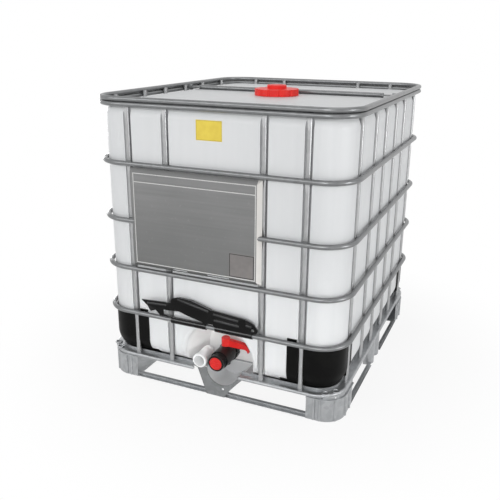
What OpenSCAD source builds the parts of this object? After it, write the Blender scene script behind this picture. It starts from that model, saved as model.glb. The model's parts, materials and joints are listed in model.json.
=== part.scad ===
// Intermediate bulk container: blow-moulded bottle in a tube cage on a steel pallet.
// Millimetres, +Z up, origin on the floor under the middle of the cage, valve side faces -Y.

/* [Cage] */
// outside width of the cage, across the valve side
cage_w = 1000; // [900:1:1100]
// outside depth of the cage, valve side to back
cage_d = 1200; // [1100:1:1300]
// diameter of every cage tube
tube_d = 18; // [14:0.5:22]
// outside radius of the ring corners
ring_r = 122; // [100:1:140]
// distance from ring centre line to upright centre line
nest = 15; // [12:0.5:18]
// gap left between tubes that are welded together
weld_gap = 0.2; // [0.1:0.05:0.4]

/* [Ring heights] */
// height of the seam between the two top rail tubes over the bottle
rail_over = 10; // [9.5:0.5:14]
// height of the upper ring
upper_z = 888; // [840:1:930]
// height of the middle ring
middle_z = 674; // [640:1:710]
// height of the lower ring
lower_z = 485; // [450:1:520]
// height of the bottom ring
bottom_z = 302; // [285:1:320]

/* [Uprights] */
// outer front and back uprights, from the middle
front_outer = 342; // [300:1:370]
// inner front and back uprights, from the middle
front_inner = 188; // [150:1:230]
// outer side uprights, from the middle
side_outer = 450; // [400:1:470]
// middle side uprights, from the middle
side_mid = 248; // [200:1:300]
// inner side uprights, from the middle
side_inner = 88; // [60:1:130]
// half length of the pinch at a crossing
dent_half = 42; // [30:1:60]
// half length of the flat in the pinch
dent_flat = 14; // [11:1:24]
// how far the upright runs up behind the upper rail tube
upright_over = 8; // [2:0.5:16]

/* [Bottle] */
// wall thickness of the bottle
wall = 3; // [2:0.25:5]
// space between bottle and rings
ring_gap = 5; // [5:0.5:8]
// space round the uprights in the bottle grooves
groove_gap = 6; // [5:0.5:10]
// top of the bottle shoulder
bottle_top = 1097; // [1060:1:1160]
// radius of the top bottle edges
edge_r = 45; // [30:1:60]
// radius of the bottom bottle edges
base_r = 80; // [72:1:90]
// depth of the valve recess
recess_depth = 131; // [125:1:145]
// half width of the valve recess at the front
recess_half = 140; // [135:1:140]
// half width of the valve recess at the back
recess_back = 100; // [90:1:110]
// radius of the lip round the valve recess
recess_lip = 18; // [12:1:18]
// height of the valve recess arch centre
recess_z = 165; // [150:1:168]
// width of the bottle label
label_w = 99; // [60:1:140]
// height of the bottle label
label_h = 69; // [40:1:90]
// thickness of the bottle label
label_t = 0.6; // [0.4:0.1:1]
// sideways place of the bottle label
label_x = -15; // [-60:1:60]
// how far the middle of the label lies under the bottle top
label_drop = 72; // [65:1:120]

/* [Lid] */
// outside radius of the filling neck
neck_r = 75; // [65:0.5:80]
// wall of the filling neck
neck_wall = 6; // [4:0.5:8]
// height of the filling neck above the bottle
neck_h = 21; // [16:0.5:26]
// outside radius of the screw lid
lid_r = 90; // [84:0.5:96]
// height of the lid skirt
lid_h = 26; // [24:0.5:32]
// radius of the raised disc on the lid
lid_disc_r = 40; // [30:0.5:50]
// height of the raised disc on the lid
lid_disc_h = 15; // [8:0.5:18]
// number of grip lobes round the lid
lid_lobes = 12; // [8:1:16]
// running gap between the lid and the neck
lid_gap = 0.4; // [0.3:0.05:0.8]
// thickness of the lid gasket
gasket_t = 2; // [1:0.5:3]

/* [Valve] */
// sideways place of the valve
valve_x = 6; // [0:1:20]
// height of the outlet axis
valve_z = 152; // [145:1:160]
// radius of the outlet bore
bore_r = 22; // [20:0.5:24]
// radius of the outlet neck on the bottle
outlet_r = 30; // [28:0.5:32]
// outside radius of the union nut
nut_r = 40; // [37:0.5:42]
// outside radius of the valve body
body_r = 36; // [32:0.5:36]
// outside radius of the outlet ring
mouth_r = 32; // [30:0.5:33]
// how far the valve mouth stays inside the cage outline
mouth_in = 14; // [8:1:20]
// how far the stem lies inside the cage outline
stem_in = 104; // [102:1:108]
// radius of the stem
stem_r = 5; // [4:0.25:7]
// running gap of the stem
stem_gap = 0.05; // [0.02:0.01:0.1]
// top of the stem boss
boss_z = 189; // [188.5:0.5:194]
// radius of the handle hub
hub_r = 17; // [14:0.5:20]
// height of the handle hub
hub_h = 35; // [30:0.5:38]
// width of the lever
lever_w = 18; // [12:0.5:24]
// length of the lever from the stem
lever_len = 101; // [95:0.5:103]

/* [Valve flap] */
// wall of the sleeves on the bottom ring
sleeve_wall = 3.2; // [2:0.1:4]
// running gap of the sleeves
sleeve_gap = 0.3; // [0.2:0.05:0.5]
// thickness of the flap plate
flap_t = 5; // [3:0.5:7]
// length of the flap
flap_len = 485; // [460:1:490]

/* [Label plate] */
// left edge of the plate face
plate_left = -317; // [-325:1:-300]
// right edge of the plate face
plate_right = 175; // [165:1:180]
// bottom edge of the plate face
plate_low = 517; // [512:1:525]
// top edge of the plate face
plate_high = 861; // [850:1:865]
// how far the slanted flanges widen the plate
plate_flare = 15; // [10:0.5:16]
// how far the slanted flanges reach back
plate_back = 13; // [8:0.5:14]
// sheet thickness of the plate
plate_t = 1.5; // [1:0.25:2]

/* [Pallet] */
// sheet thickness of the pallet
sheet = 2.5; // [1.5:0.25:3]
// underside of the tray floor
floor_z = 108; // [100:1:115]
// top of the ledge that carries the uprights
ledge_z = 122; // [118:1:130]
// top of the tray rim
rim_z = 130; // [126:1:140]
// plan radius of the tray rim
rim_r = 88; // [84:1:90]
// diameter of the rolled edge of the ledge
roll_d = 14; // [10:0.5:14]
// how far the rolled edge stays inside the cage outline
roll_in = 6; // [2:0.5:10]
// half width of the gap for the valve guard
gap_half = 99; // [96:1:105]
// depth of the gap for the valve guard
gap_depth = 145; // [140:1:160]
// front face of the feet, inside the cage outline
foot_in_y = 35; // [30:1:45]
// side face of the feet, inside the cage outline
foot_in_x = 10; // [8:1:20]
// length of a corner foot along the front
foot_front = 128; // [100:1:150]
// length of a corner foot along the side
foot_side = 165; // [130:1:190]
// plan radius of a corner foot
foot_r = 80; // [60:1:95]
// radius of the upright flutes on the feet
foot_flute = 6; // [4:0.5:8]
// radius of a lobe of the middle feet
lobe_r = 37; // [30:1:42]
// height of the ground runners
runner_h = 18; // [14:1:22]
// depth of the ground runners
runner_d = 14; // [10:1:18]
// place of the floor beams, from the middle
beam_y = 250; // [200:1:300]
// height of the floor beams
beam_h = 30; // [20:1:40]
// radius of the guard notch under the valve
notch_r = 62; // [58:1:64]
// height of the guard notch centre
notch_z = 113; // [112:1:116]
// height of the guard apron that carries the spout
apron_z = 121; // [120:1:124]

/* [Corner protectors] */
// thickness of the protectors
guard_t = 4; // [3:0.25:4]
// gap between protectors and bottle
guard_gap = 0.4; // [0.3:0.05:0.6]
// reach of the protectors along the front
guard_front = 189; // [170:1:200]
// reach of the protectors along the side
guard_side = 167; // [150:1:190]
// lower edge of the protectors
guard_low = 121; // [118:1:130]
// upper edge of the protectors
guard_high = 298; // [280:1:302]
// how much higher the protectors reach beside the uprights
guard_ear = 18; // [10:1:24]

/* [Crossbar] */
// place of the crossbar behind the lid
bar_y = 112; // [104:1:140]
// thickness of the flattened crossbar ends
tab_t = 6; // [4:0.5:8]
// width of the flattened crossbar ends
tab_w = 30; // [24:1:36]
// length of the flattened crossbar ends
tab_len = 76; // [60:1:90]
// radius of the crossbar bolts
bolt_r = 5; // [4:0.5:6]
// gap round the crossbar bolts
bolt_gap = 0.1; // [0.1:0.05:0.5]
// thickness of the crossbar brackets
bracket_t = 3; // [2:0.5:4]

/* [Discharge spout] */
// outside radius of the spout
spout_r = 28; // [24:0.5:29]
// length of the spout
spout_len = 88; // [70:1:100]
// sideways distance between spout and valve
spout_off = 70; // [69:0.5:72]

/* [Hidden] */
$fn = 64;
half_w = cage_w / 2;
half_d = cage_d / 2;
tube_r = tube_d / 2;
line_x = half_w - tube_r;
line_y = half_d - tube_r;
up_x = line_x - nest;
up_y = line_y - nest;
flat_y = nest - tube_r - weld_gap;
ring_zs = [bottom_z, lower_z, middle_z, upper_z];
rail_z = bottle_top + rail_over;
rail_low_z = rail_z - tube_r - weld_gap / 2;
rail_top_z = rail_z + tube_r + weld_gap / 2;
up_top = rail_z + upright_over;
bot_hw = line_x - tube_r - ring_gap;
bot_hd = line_y - tube_r - ring_gap;
bottle_r = ring_r - tube_d - ring_gap;
front_at = [-front_outer, -front_inner, front_inner, front_outer];
side_at = [-side_outer, -side_mid, -side_inner, side_inner, side_mid, side_outer];
bot_z = floor_z + sheet;
base_z = bot_z + base_r;
channel_z = bot_z + base_r / 2;
recess_y = bot_hd - recess_depth;
recess_side = 4;
lip_proud = 0.4;
outlet_len = 22;
outlet_y = recess_y + outlet_len;
mouth_y = half_d - mouth_in;
stem_y = half_d - stem_in;
lid_z = bottle_top + 1;
neck_top = bottle_top + neck_h;
lid_roof = neck_top + gasket_t;
rim_out_x = up_x - tube_r - 5;
rim_out_y = up_y - tube_r - 5;
roll_x = half_w - roll_in;
roll_y = half_d - roll_in;
roll_r = ring_r - roll_in;
foot_x = half_w - foot_in_x;
foot_y = half_d - foot_in_y;
mid_half = 2 * lobe_r + 5;
notch_x = 14;
flank_in = 0.5;
bar_z = bottle_top + 0.3 + tube_r;
bar_half = line_x - tube_r - weld_gap;
bolt_x = bar_half - 22;
sleeve_r = tube_r + sleeve_gap + sleeve_wall;
flap_front = line_y + sleeve_r - 0.5;
union_gap = 0.2;
cap_r = bore_r + 2.5;
cap_run = 0.4;
nut_back = outlet_y - 18;
nut_front = outlet_y + 6;
cap_seat = 5;
cap_seal = 1.5;
stem_in_hub = 18;
tiny = 0.01;

// Flat outline with round corners.
module plan(w, d, r) {
    square([w - 2 * r, d], center = true);
    square([w, d - 2 * r], center = true);
    for (sx = [-1, 1])
        for (sy = [-1, 1])
            translate([sx * (w / 2 - r), sy * (d / 2 - r)])
                circle(r);
}

// Closed tube loop bent round four corners.
module loop(w, d, r, t) {
    for (s = [-1, 1]) {
        translate([0, s * (d - t) / 2, 0])
            rotate([0, 90, 0])
                cylinder(d = t, h = w - 2 * r, center = true);
        translate([s * (w - t) / 2, 0, 0])
            rotate([90, 0, 0])
                cylinder(d = t, h = d - 2 * r, center = true);
    }
    for (k = [0:3])
        translate([(k == 0 || k == 3 ? 1 : -1) * (w / 2 - r), (k < 2 ? 1 : -1) * (d / 2 - r), 0])
            rotate([0, 0, 90 * k])
                rotate_extrude(angle = 90)
                    translate([r - t / 2, 0])
                        circle(d = t);
}

// Extrudes a side view (y, z) along X.
module along_x(len) {
    rotate([90, 0, 90])
        linear_extrude(height = len, center = true)
            children();
}

// Extrudes a front view (x, z) along Y, from y = -far to y = -near.
module along_y(near, far) {
    translate([0, -near, 0])
        rotate([90, 0, 0])
            linear_extrude(height = far - near)
                children();
}

// Cylinder along Y, from y = -far to y = -near.
module rod_y(r, near, far) {
    translate([0, -near, 0])
        rotate([90, 0, 0])
            cylinder(r = r, h = far - near);
}

module cage_ring(z) {
    translate([0, 0, z])
        loop(cage_w, cage_d, ring_r, tube_d);
}

// One upright, the outside of the cage toward -Y, with the flats that nest the rings.
module upright() {
    lip = tube_r + 0.2;
    out = tube_d;
    rail_start = rail_low_z - tube_r;
    difference() {
        translate([0, 0, ledge_z])
            cylinder(r = tube_r, h = up_top - ledge_z);
        for (z = ring_zs)
            translate([0, 0, z])
                along_x(out)
                    polygon([[-lip, -dent_half], [-flat_y, -dent_flat], [-flat_y, dent_flat],
                        [-lip, dent_half], [-out, dent_half], [-out, -dent_half]]);
        along_x(out)
            polygon([[-lip, rail_start - dent_half], [-flat_y, rail_start - dent_flat / 2],
                [-flat_y, up_top + 1], [-out, up_top + 1], [-out, rail_start - dent_half]]);
        along_x(out)
            polygon([[-lip, ledge_z + dent_half], [-flat_y, ledge_z + dent_flat],
                [-flat_y, ledge_z - 1], [-out, ledge_z - 1], [-out, ledge_z + dent_half]]);
    }
}

module upright_row(places) {
    for (p = places)
        translate([p, 0, 0])
            upright();
}

module front_row() {
    translate([0, -up_y, 0])
        upright_row(front_at);
}

module side_row() {
    rotate([0, 0, 90])
        translate([0, -up_x, 0])
            upright_row(side_at);
}

// Side view of the bottle: small rounds at the top, large ones where it tucks into the tray.
module bottle_view(half, inset) {
    low = bot_z + inset;
    high = bottle_top - inset;
    top = edge_r - inset;
    base = base_r - inset;
    wide = half - inset;
    translate([-wide, low + base])
        square([2 * wide, high - low - top - base]);
    translate([base - wide, low])
        square([2 * (wide - base), high - low - top]);
    translate([top - wide, low + base])
        square([2 * (wide - top), high - low - base]);
    for (s = [-1, 1]) {
        translate([s * (wide - base), low + base])
            circle(base);
        translate([s * (wide - top), high - top])
            circle(top);
    }
}

module bottle_form(inset) {
    along_x(2 * (bot_hw - bottle_r))
        bottle_view(bot_hd, inset);
    along_y(-(bot_hd - bottle_r), bot_hd - bottle_r)
        bottle_view(bot_hw, inset);
    for (sx = [-1, 1])
        for (sy = [-1, 1])
            translate([sx * (bot_hw - bottle_r), sy * (bot_hd - bottle_r), 0])
                rotate_extrude()
                    intersection() {
                        bottle_view(bottle_r, inset);
                        translate([0, bot_z + inset])
                            square([bottle_r - inset, bottle_top - bot_z - 2 * inset]);
                    }
}

// Half section of the valve recess with its rounded lip, out along y from the back wall.
module recess_section(grow) {
    out = recess_half + recess_lip;
    lip_at = recess_depth - recess_lip + lip_proud;
    difference() {
        polygon([[0, -grow], [recess_back + grow, -grow], [recess_half + grow, lip_at], [out, lip_at],
            [out, recess_depth + 1], [0, recess_depth + 1]]);
        translate([out + lip_proud, lip_at])
            circle(recess_lip - grow);
    }
}

// Arched recess for the valve, open at the bottom, grown by the wall for the inside.
module recess(grow) {
    translate([valve_x + recess_side, -recess_y, recess_z]) {
        rotate([90, 0, 0])
            rotate_extrude(angle = 180)
                recess_section(grow);
        for (s = [0, 1])
            mirror([s, 0, 0])
                translate([0, 0, bot_z - recess_z - 1])
                    linear_extrude(height = recess_z - bot_z + 1)
                        mirror([0, 1])
                            recess_section(grow);
    }
}

// Round grooves that the uprights lie in.
module grooves(grow) {
    r = tube_r + groove_gap + grow;
    tall = bottle_top - bot_z + 20;
    for (s = [-1, 1]) {
        for (x = front_at)
            translate([x, s * up_y, bot_z - 10])
                cylinder(r = r, h = tall);
        for (y = side_at)
            translate([s * up_x, y, bot_z - 10])
                cylinder(r = r, h = tall);
    }
}

module bottle() {
    color("white")
        difference() {
            union() {
                difference() {
                    bottle_form(0);
                    recess(0);
                    grooves(0);
                }
                translate([0, 0, bottle_top - tiny])
                    cylinder(r = neck_r, h = neck_h + tiny);
                translate([valve_x, 0, valve_z])
                    rod_y(outlet_r, recess_y - tiny, outlet_y);
            }
            difference() {
                bottle_form(wall);
                recess(wall);
                grooves(wall);
            }
            translate([0, 0, bottle_top - 2 * wall])
                cylinder(r = neck_r - neck_wall, h = neck_h + 3 * wall);
            translate([valve_x, 0, valve_z])
                rod_y(bore_r, recess_y - 2 * wall, outlet_y + 1);
        }
}

module bottle_label() {
    color("gold")
        translate([label_x, -bot_hd - label_t / 2, bottle_top - label_drop])
            cube([label_w, label_t, label_h], center = true);
}

module lid_gasket() {
    color("black")
        translate([0, 0, neck_top])
            difference() {
                cylinder(r = neck_r, h = gasket_t);
                translate([0, 0, -1])
                    cylinder(r = neck_r - neck_wall, h = gasket_t + 2);
            }
}

module screw_lid() {
    groove = 0.1 * lid_r;
    bevel = 3;
    color("red") {
        difference() {
            translate([0, 0, lid_z])
                cylinder(r = lid_r, h = lid_h);
            for (k = [1:lid_lobes])
                rotate([0, 0, 360 / lid_lobes * k])
                    translate([lid_r + 0.5 * groove, 0, lid_z - 1])
                        cylinder(r = groove, h = lid_h + 2);
            translate([0, 0, lid_z - 1])
                cylinder(r = neck_r + lid_gap, h = lid_roof - lid_z + 1);
        }
        translate([0, 0, lid_z + lid_h - tiny])
            cylinder(r = lid_disc_r, h = lid_disc_h - bevel + tiny);
        translate([0, 0, lid_z + lid_h + lid_disc_h - bevel - tiny])
            cylinder(r1 = lid_disc_r, r2 = lid_disc_r - bevel, h = bevel + tiny);
    }
}

module rail_upper() {
    color("silver")
        cage_ring(rail_top_z);
}

module rail_lower() {
    color("silver")
        cage_ring(rail_low_z);
}

module ring_upper() {
    color("silver")
        cage_ring(upper_z);
}

module ring_middle() {
    color("silver")
        cage_ring(middle_z);
}

module ring_lower() {
    color("silver")
        cage_ring(lower_z);
}

module ring_bottom() {
    color("silver")
        cage_ring(bottom_z);
}

module uprights_front() {
    color("lightgray")
        front_row();
}

module uprights_back() {
    color("lightgray")
        rotate([0, 0, 180])
            front_row();
}

module uprights_left() {
    color("lightgray")
        rotate([0, 0, 180])
            side_row();
}

module uprights_right() {
    color("lightgray")
        side_row();
}

module bar_end() {
    difference() {
        translate([bar_half - tab_len, -tab_w / 2, -tab_t / 2])
            cube([tab_len, tab_w, tab_t]);
        translate([bolt_x, 0, -tab_t])
            cylinder(r = bolt_r + bolt_gap, h = 2 * tab_t);
    }
}

module crossbar() {
    color("silver")
        translate([0, bar_y, bar_z]) {
            rotate([0, 90, 0])
                cylinder(r = tube_r, h = 2 * (bar_half - tab_len) + 20, center = true);
            for (s = [0, 180])
                rotate([0, 0, s])
                    bar_end();
        }
}

// Angle brackets on the rails that carry the flattened ends.
module crossbar_brackets() {
    shelf = 40;
    drop = 16;
    color("gray")
        for (s = [0, 1])
            mirror([s, 0, 0])
                translate([0, bar_y - tab_w / 2, bar_z - tab_t / 2 - bracket_t])
                    difference() {
                        union() {
                            translate([bar_half - shelf, 0, 0])
                                cube([shelf, tab_w, bracket_t]);
                            translate([bar_half - bracket_t, 0, -drop])
                                cube([bracket_t, tab_w, drop + bracket_t]);
                        }
                        translate([bolt_x, tab_w / 2, -1])
                            cylinder(r = bolt_r + bolt_gap, h = bracket_t + 2);
                    }
}

// Bolt and nut at each end of the crossbar, each pair as one solid.
module crossbar_bolts() {
    head_r = 1.8 * bolt_r;
    head_h = 1.2 * bolt_r;
    grip = tab_t + bracket_t;
    color("dimgray")
        for (s = [-1, 1])
            translate([s * bolt_x, bar_y, bar_z + tab_t / 2 - grip]) {
                translate([0, 0, -head_h - 2])
                    cylinder(r = bolt_r, h = grip + head_h + 3);
                translate([0, 0, grip])
                    cylinder(r = head_r, h = head_h, $fn = 6);
                translate([0, 0, -head_h])
                    cylinder(r = head_r, h = head_h, $fn = 6);
            }
}

// Pressed plate: a face toward -Y that widens by the flare to its back edge.
module plate_form(inset) {
    front = half_d + weld_gap + plate_t - inset;
    flare = plate_flare - inset;
    width = plate_right - plate_left;
    height = plate_high - plate_low;
    hull() {
        translate([plate_left + inset, -front, plate_low + inset])
            cube([width - 2 * inset, 0.1, height - 2 * inset]);
        translate([plate_left - flare, -front + plate_back + inset, plate_low - flare])
            cube([width + 2 * flare, 0.1, height + 2 * flare]);
    }
}

module label_plate() {
    cut_h = 9;
    low = plate_low - plate_flare / 2;
    color("silver")
        difference() {
            plate_form(0);
            plate_form(plate_t);
            translate([0, -line_y, middle_z])
                rotate([0, 90, 0])
                    cylinder(r = tube_r + weld_gap, h = cage_w, center = true);
            for (slot = [[-169, 68], [-23, 91]])
                translate([slot[0], -half_d, low - cut_h / 2])
                    cube([slot[1], 30, cut_h]);
        }
}

// Section of the round foot of a protector, out from the axis of the bottle corner.
module guard_foot(high) {
    translate([bottle_r - base_r, base_z])
        intersection() {
            difference() {
                circle(base_r + guard_gap + guard_t);
                circle(base_r + guard_gap);
            }
            translate([0, guard_low - base_z])
                square([2 * base_r, high - guard_low]);
        }
}

module guard_section(high) {
    guard_foot(base_z);
    translate([bottle_r + guard_gap, base_z])
        square([guard_t, high - base_z]);
}

// Extrudes a protector section along the front, between two places counted in from the bottle side.
module guard_along(from, to) {
    translate([bot_hw - (from + to) / 2, bottle_r - bot_hd, 0])
        mirror([0, 1, 0])
            along_x(to - from)
                children();
}

// Half-round channel of a protector behind the upright at the origin, inside toward +Y.
module guard_channel(face) {
    channel_r = tube_r + groove_gap - guard_gap;
    intersection() {
        cylinder(r = channel_r, h = guard_high - 0.5);
        translate([-channel_r - 1, -face, channel_z])
            cube([2 * channel_r + 2, 2 * channel_r, guard_high]);
    }
}

// Space for the upright at the origin.
module guard_way() {
    translate([0, 0, guard_low - 1])
        cylinder(r = tube_r + groove_gap - guard_gap - guard_t, h = guard_high);
}

// Corner protector for the +X -Y corner, a skin that follows the bottle and its grooves.
module protector() {
    tab = 30;
    tab_h = 22;
    face_x = bot_hw + guard_gap + guard_t / 2 - up_x;
    face_y = bot_hd + guard_gap + guard_t / 2 - up_y;
    ear_from = bot_hw - front_outer + tube_d;
    difference() {
        union() {
            translate([bot_hw - bottle_r, bottle_r - bot_hd, 0])
                rotate([0, 0, -90])
                    rotate_extrude(angle = 90)
                        guard_section(guard_high);
            guard_along(bottle_r, ear_from)
                guard_section(guard_high);
            guard_along(ear_from, guard_front)
                guard_section(guard_high + guard_ear);
            guard_along(guard_front, guard_front + tab)
                guard_foot(guard_low + tab_h);
            translate([bot_hw - bottle_r, 0, 0])
                along_y(bot_hd - guard_side, bot_hd - bottle_r)
                    guard_section(guard_high);
            translate([front_outer, -up_y, 0])
                guard_channel(face_y);
            translate([up_x, -side_outer, 0])
                rotate([0, 0, 90])
                    guard_channel(face_x);
        }
        translate([front_outer, -up_y, 0])
            guard_way();
        translate([up_x, -side_outer, 0])
            guard_way();
    }
}

module protector_front_right() {
    color("black")
        protector();
}

module protector_front_left() {
    color("black")
        mirror([1, 0, 0])
            protector();
}

module protector_back_right() {
    color("black")
        mirror([0, 1, 0])
            protector();
}

module protector_back_left() {
    color("black")
        rotate([0, 0, 180])
            protector();
}

module union_nut() {
    color("black")
        translate([valve_x, 0, valve_z])
            difference() {
                rod_y(nut_r, nut_back, nut_front);
                rod_y(outlet_r + union_gap, nut_back - 1, nut_front + 1);
                for (k = [1:10])
                    rotate([0, 36 * k, 0])
                        translate([nut_r + 3, 0, 0])
                            rod_y(6, nut_back - 1, nut_front + 1);
            }
}

module valve_body() {
    mouth_len = 30;
    boss_r = 15;
    base_h = 6;
    bead = 3;
    color("black")
        difference() {
            union() {
                translate([valve_x, 0, valve_z]) {
                    rod_y(outlet_r, outlet_y + union_gap, nut_front + union_gap + tiny);
                    rod_y(body_r, nut_front + union_gap, mouth_y - mouth_len + tiny);
                    rod_y(mouth_r, mouth_y - mouth_len, mouth_y);
                }
                translate([valve_x, -stem_y, valve_z])
                    cylinder(r = boss_r, h = boss_z - valve_z);
                translate([valve_x, -stem_y, valve_z - body_r - base_h])
                    cylinder(r = 1.2 * boss_r, h = body_r + base_h);
            }
            translate([valve_x, 0, valve_z]) {
                rod_y(bore_r, outlet_y, mouth_y + 1);
                rod_y(cap_r + 0.5, mouth_y - cap_seat, mouth_y + 1);
                for (y = [mouth_y - 8 * bead, mouth_y - 5 * bead])
                    difference() {
                        rod_y(mouth_r + 1, y, y + bead);
                        rod_y(mouth_r - bead / 2, y - 1, y + bead + 1);
                    }
            }
            translate([valve_x, -stem_y, valve_z])
                cylinder(r = stem_r + stem_gap, h = boss_z - valve_z + 1);
        }
}

module valve_stem() {
    below = 0.8 * bore_r;
    color("gray")
        translate([valve_x, -stem_y, valve_z - below])
            cylinder(r = stem_r, h = boss_z - valve_z + below + stem_in_hub);
}

module valve_disc() {
    disc_t = 5;
    shaft_r = 8;
    color("dimgray")
        translate([valve_x, -stem_y, valve_z])
            difference() {
                union() {
                    rod_y(bore_r - 0.6, -disc_t / 2, disc_t / 2);
                    cylinder(r = shaft_r, h = 1.6 * bore_r, center = true);
                }
                cylinder(r = stem_r + stem_gap, h = 3 * bore_r, center = true);
            }
}

module valve_handle() {
    foot = boss_z + 0.4;
    bevel = 3;
    color("red")
        translate([valve_x, -stem_y, 0])
            difference() {
                union() {
                    translate([0, 0, foot])
                        cylinder(r = hub_r, h = hub_h - bevel);
                    translate([0, 0, foot + hub_h - bevel - tiny])
                        cylinder(r1 = hub_r, r2 = hub_r - bevel, h = bevel + tiny);
                    along_y(-lever_w / 2, lever_w / 2)
                        translate([0, foot])
                            polygon(lever_len / 100 * [[8, 0], [85, 0], [92, -5], [95, -12], [99, -11],
                                [100, 0], [97, 8], [90, 15], [78, 20], [59, 24], [25, 26], [8, 26]]);
                }
                translate([0, 0, foot - 1])
                    cylinder(r = stem_r + stem_gap, h = stem_in_hub + 1);
            }
}

module cap_gasket() {
    color("black")
        translate([valve_x, 0, valve_z])
            difference() {
                rod_y(cap_r, mouth_y - cap_seat, mouth_y - cap_seat + cap_seal);
                rod_y(bore_r - cap_run / 2, mouth_y - cap_seat - 1, mouth_y);
            }
}

module outlet_cap() {
    seat = mouth_y - cap_seat + cap_seal;
    web = 4;
    color("red")
        translate([valve_x, 0, valve_z]) {
            difference() {
                rod_y(cap_r, seat, mouth_y + 2);
                rod_y(cap_r - 2 * web, mouth_y, mouth_y + 3);
            }
            difference() {
                rod_y(bore_r - cap_run, mouth_y - bore_r, seat + tiny);
                rod_y(bore_r - web, mouth_y - bore_r - 1, mouth_y - cap_seat);
            }
            translate([-cap_r + web, 0, -web])
                along_y(mouth_y - 1, mouth_y + 2)
                    square([2 * (cap_r - web), 2 * web]);
        }
}

module sleeve(from, to) {
    translate([from, 0, 0])
        rotate([0, 90, 0])
            difference() {
                cylinder(r = sleeve_r, h = to - from);
                translate([0, 0, -1])
                    cylinder(r = tube_r + sleeve_gap, h = to - from + 2);
            }
}

// Points of the flap are drawn for a flap of 485 mm and scaled to its length.
module valve_flap() {
    near = flap_front - flap_t;
    pivot = bottom_z;
    u = flap_len / 485;
    rib_d = 9;
    color("black") {
        translate([0, -line_y, pivot]) {
            sleeve(-174 * u, -27 * u);
            sleeve(11 * u, 160 * u);
        }
        difference() {
            along_y(near, flap_front)
                translate([0, pivot])
                    polygon(u * [[-301, 66], [-173, 74], [-168, 92], [-142, 101], [-87, 99], [-5, 76], [56, 72],
                        [135, 65], [168, 52], [184, 32], [180, 18], [160, 9], [11, 9], [4, 18], [-20, 18],
                        [-27, 9], [-172, 9], [-172, 15], [-219, 13], [-240, 34], [-263, 24], [-276, 46]]);
            along_y(near - 1, flap_front + 1)
                translate([0, pivot])
                    polygon(u * [[-206, 40], [-136, 45], [-96, 33], [-36, 20], [-40, 16], [-170, 16],
                        [-206, 22]]);
            translate([164 * u, 0, pivot + 27 * u])
                rod_y(6 * u, near - 1, flap_front + 1);
        }
        along_y(near - rib_d, near + tiny)
            translate([0, pivot])
                polygon(u * [[-166, 80], [-140, 99], [-88, 97], [-6, 74], [-6, 62], [-90, 84], [-138, 86]]);
        translate([3 * u, -near, pivot + 47 * u])
            rotate([0, 90, 0])
                cylinder(r = flap_t, h = 113 * u);
        for (x = [30, 70, 110])
            translate([x * u, -near - tiny, pivot + tube_r + 3])
                cube([4, rib_d, 34 * u]);
    }
}

// Open tube with a collar in front and a plain end toward the bottle.
module discharge_spout() {
    front = mouth_y + 2;
    back = front - spout_len;
    collar = 14;
    step = 2;
    color("white")
        translate([valve_x - spout_off, 0, apron_z + weld_gap + spout_r])
            difference() {
                union() {
                    rod_y(spout_r - step, back, front);
                    rod_y(spout_r, front - collar, front - step);
                    rod_y(spout_r, back + collar, back + collar + step);
                }
                rod_y(spout_r - 3 * step, back - 1, front + 1);
            }
}

// Space cut from the tray for the valve guard.
module tray_gap() {
    translate([valve_x - gap_half, -half_d - 1, 0])
        cube([2 * gap_half, gap_depth + 1, rim_z + 20]);
}

// Pan with a rim, an outer ledge with a rolled edge, and two pressed loops at each corner.
module tray() {
    loop_r = 12;
    loop_at = roll_r - roll_d / 2 - 3;
    color("silver") {
        difference() {
            union() {
                translate([0, 0, floor_z])
                    linear_extrude(height = sheet)
                        plan(2 * rim_out_x, 2 * rim_out_y, rim_r);
                translate([0, 0, floor_z])
                    linear_extrude(height = rim_z - floor_z)
                        difference() {
                            plan(2 * rim_out_x, 2 * rim_out_y, rim_r);
                            plan(2 * (rim_out_x - sheet), 2 * (rim_out_y - sheet), rim_r - sheet);
                        }
                translate([0, 0, ledge_z - sheet])
                    linear_extrude(height = sheet)
                        difference() {
                            plan(2 * (roll_x - roll_d / 2), 2 * (roll_y - roll_d / 2), roll_r - roll_d / 2);
                            plan(2 * (rim_out_x - 1), 2 * (rim_out_y - 1), rim_r - 1);
                        }
                translate([0, 0, ledge_z - roll_d / 2])
                    loop(2 * roll_x, 2 * roll_y, roll_r, roll_d);
            }
            tray_gap();
        }
        for (s = [-1, 1])
            translate([valve_x + s * gap_half, -roll_y + roll_d / 2, ledge_z - roll_d / 2])
                sphere(d = roll_d);
        for (sx = [-1, 1])
            for (sy = [-1, 1])
                for (turn = [34, 57])
                    translate([sx * (half_w - ring_r + loop_at * cos(turn)),
                            sy * (half_d - ring_r + loop_at * sin(turn)), ledge_z + 1])
                        rotate_extrude()
                            translate([loop_r, 0])
                                circle(3);
    }
}

// Two hat-shaped beams under the tray floor.
module floor_beams() {
    tall = beam_h;
    low = 26;
    high = 32;
    wide = 60;
    color("gray")
        for (s = [-1, 1])
            translate([0, s * beam_y, floor_z - tall])
                along_x(2 * (foot_x - 50))
                    polygon([[-wide, tall], [-wide, tall - sheet], [-high, tall - sheet], [-low, 0], [low, 0],
                        [high, tall - sheet], [wide, tall - sheet], [wide, tall], [high - sheet, tall],
                        [low - sheet, sheet], [sheet - low, sheet], [sheet - high, tall]]);
}

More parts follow.
